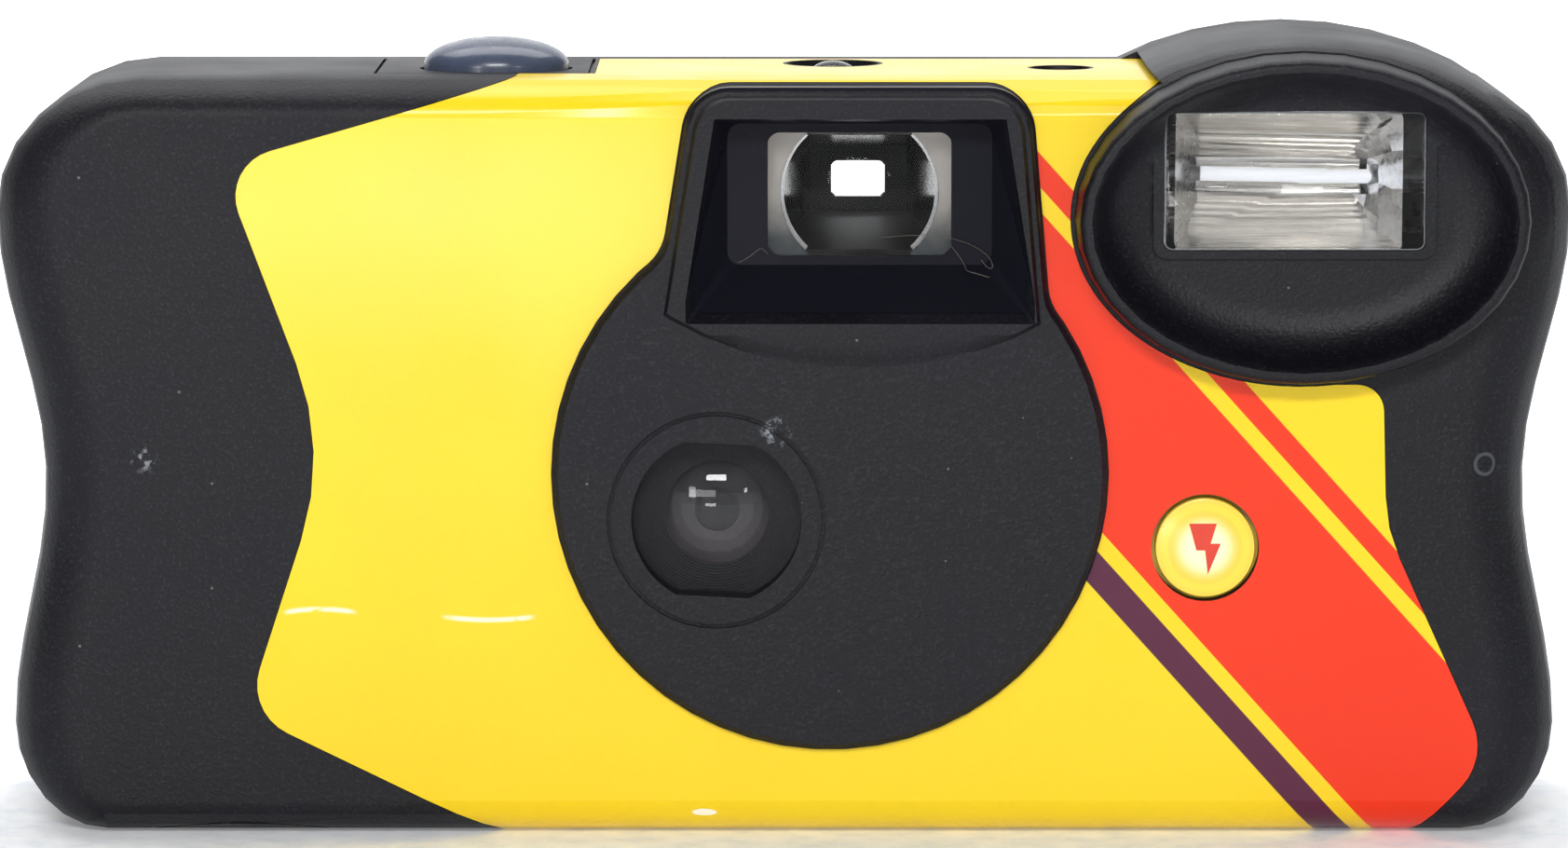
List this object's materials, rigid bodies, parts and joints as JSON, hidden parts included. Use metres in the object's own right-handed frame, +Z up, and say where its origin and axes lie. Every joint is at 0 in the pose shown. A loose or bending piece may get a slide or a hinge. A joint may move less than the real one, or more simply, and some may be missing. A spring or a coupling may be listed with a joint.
{
  "type": "disposable film camera",
  "caption": "Pocket flash camera with pinched ends, oval flash pod, round lens panel and hooded finder, holding one film roll, a winding wheel, a leaf shutter and a flash circuit.",
  "frame": {"origin": "on the surface that the camera stands on, under the middle of its bounding box", "axes": "+Z up, +X to the right as seen from the front, front faces -Y"},
  "size_m": [0.117, 0.033, 0.0593],
  "materials": {
    "black_plastic": "fine matte moulded texture",
    "label_print": "printed film label with satin varnish",
    "button_plastic": "polished blue-grey plastic",
    "charge_plastic": "printed button with a plain flash sign",
    "clear_plastic": "clear moulded acrylic",
    "amber_plastic": "tinted light pipe",
    "inner_black": "matte black inner moulding",
    "wheel_plastic": "ridged black plastic",
    "black_metal": "blackened sheet",
    "white_plastic": "natural acetal",
    "sheet_steel": "plated sheet steel",
    "spring_wire": "bright music wire",
    "contact_brass": "bright leaf",
    "can_metal": "lacquered thin steel",
    "film_base": "dark amber film",
    "cell_sleeve": "plain sleeved cell",
    "board": "green solder mask",
    "capacitor_sleeve": "shrink sleeve",
    "winding": "taped winding",
    "reflector_silver": "polished foil",
    "tube_glass": "clear glass tube"
  },
  "bodies": {
    "case": {"front_cover": "black_plastic", "rear_cover": "black_plastic", "label": "label_print", "counter_window": "clear_plastic", "ready_light_pipe": "amber_plastic", "viewfinder_lens": "clear_plastic", "eyepiece_lens": "clear_plastic", "taking_lens": "clear_plastic", "lens_retainer": "inner_black", "aperture_plate": "black_metal", "light_box": "inner_black", "main_frame": "inner_black", "keeper_plate": "sheet_steel", "film_can_shell": "can_metal", "film_can_caps": "inner_black", "film_strip": "film_base", "battery": "cell_sleeve", "battery_contact_plus": "sheet_steel", "battery_contact_minus": "sheet_steel", "flash_board": "board", "flash_capacitor": "capacitor_sleeve", "flash_transformer": "winding", "flash_reflector": "reflector_silver", "flash_tube": "tube_glass", "flash_lens": "clear_plastic", "ready_lamp": "tube_glass", "sync_contact": "contact_brass", "charge_contact": "contact_brass", "blade_spring": "spring_wire", "striker_spring": "spring_wire", "metering_spring": "spring_wire"},
    "release": {"shutter_button": "button_plastic"},
    "charger": {"charge_button": "charge_plastic"},
    "winder": {"thumbwheel": "wheel_plastic", "cartridge_spool": "inner_black"},
    "sprocket": {"sprocket_cam": "white_plastic"},
    "dial": {"counter_wheel": "white_plastic"},
    "supply": {"film_roll": "film_base", "supply_spool": "inner_black"},
    "meter": {"metering_lever": "white_plastic"},
    "striker": {"striker_lever": "sheet_steel"},
    "blade": {"shutter_blade": "black_metal"},
    "door": {"film_door": "black_plastic"}
  },
  "joints": [
    {"name": "button_press", "type": "slide", "parent": "case", "child": "release", "axis": [0, 0, -1], "range_m": [0, 0.0013], "stiffness_N_per_m": 900},
    {"name": "charge_press", "type": "slide", "parent": "case", "child": "charger", "axis": [0, 1, 0], "range_m": [0, 0.0008], "stiffness_N_per_m": 900},
    {"name": "wheel_turn", "type": "hinge", "parent": "case", "child": "winder", "pos_m": [-0.0405, 0.0023, 0.049], "axis": [0, 0, 1], "continuous": true},
    {"name": "sprocket_turn", "type": "hinge", "parent": "case", "child": "sprocket", "pos_m": [-0.0206, 0.0065, 0.045], "axis": [0, 0, 1], "continuous": true},
    {"name": "dial_turn", "type": "hinge", "parent": "case", "child": "dial", "pos_m": [-0.0035, 0.0045, 0.0538], "axis": [0, 0, 1], "continuous": true},
    {"name": "supply_turn", "type": "hinge", "parent": "case", "child": "supply", "pos_m": [0.0372, 0.0025, 0.023], "axis": [0, 0, 1], "continuous": true},
    {"name": "meter_rock", "type": "hinge", "parent": "case", "child": "meter", "pos_m": [-0.0139, 0.0056, 0.0474], "axis": [0, 0, 1], "range_deg": [0, 5], "stiffness_Nm_per_rad": 0.02, "deforming": ["metering_spring"]},
    {"name": "striker_swing", "type": "hinge", "parent": "case", "child": "striker", "pos_m": [-0.0113, -0.00055, 0.0444], "axis": [0, 0, 1], "range_deg": [0, 28], "stiffness_Nm_per_rad": 0.02, "deforming": ["striker_spring"]},
    {"name": "blade_swing", "type": "hinge", "parent": "case", "child": "blade", "pos_m": [-0.0143, -0.00625, 0.0305], "axis": [0, -1, 0], "range_deg": [0, 32], "stiffness_Nm_per_rad": 0.01, "deforming": ["blade_spring"]},
    {"name": "door_swing", "type": "hinge", "parent": "case", "child": "door", "pos_m": [-0.0405, 0.0081, 0.00047], "axis": [1, 0, 0], "range_deg": [0, 80]}
  ],
  "couplings": [
    {"joint": "sprocket_turn", "follows": "wheel_turn", "ratio": 1.157},
    {"joint": "supply_turn", "follows": "wheel_turn", "ratio": 0.729},
    {"joint": "dial_turn", "follows": "wheel_turn", "ratio": -0.0413}
  ]
}
